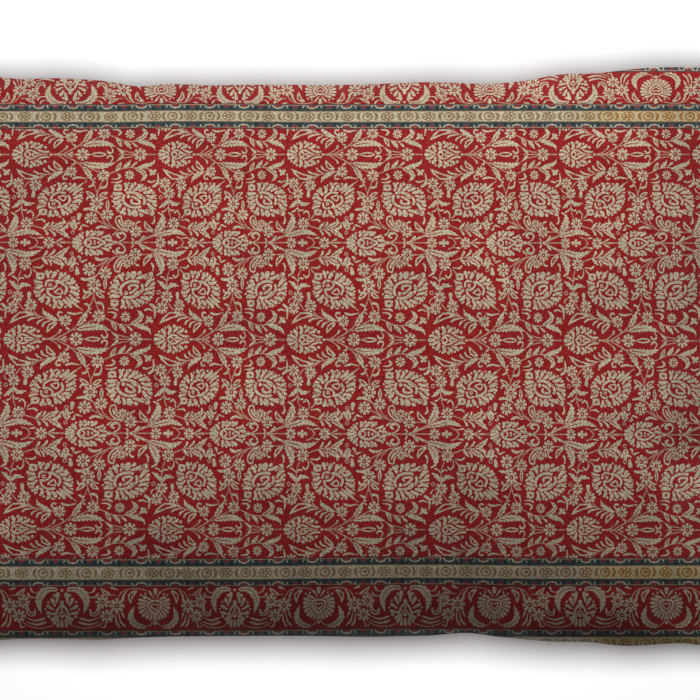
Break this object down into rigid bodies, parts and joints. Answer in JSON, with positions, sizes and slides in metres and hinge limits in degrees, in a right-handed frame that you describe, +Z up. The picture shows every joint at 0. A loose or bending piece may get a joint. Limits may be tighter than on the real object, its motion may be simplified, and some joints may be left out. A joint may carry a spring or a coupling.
{
  "type": "lumbar pillow",
  "caption": "Filled rectangular lumbar pillow with drawn-in sides and pointed ears, patterned cloth face, plain back.",
  "frame": {"origin": "on the surface under the pillow, below the middle of its outline", "axes": "+X along the long side, +Y to the far long edge, +Z up out of the patterned face"},
  "size_m": [0.5032, 0.3516, 0.114],
  "materials": {
    "patterned_cloth": "matt woven cotton, red ground with pale ornament"
  },
  "bodies": {
    "root": {"pillow": "patterned_cloth"}
  },
  "joints": []
}
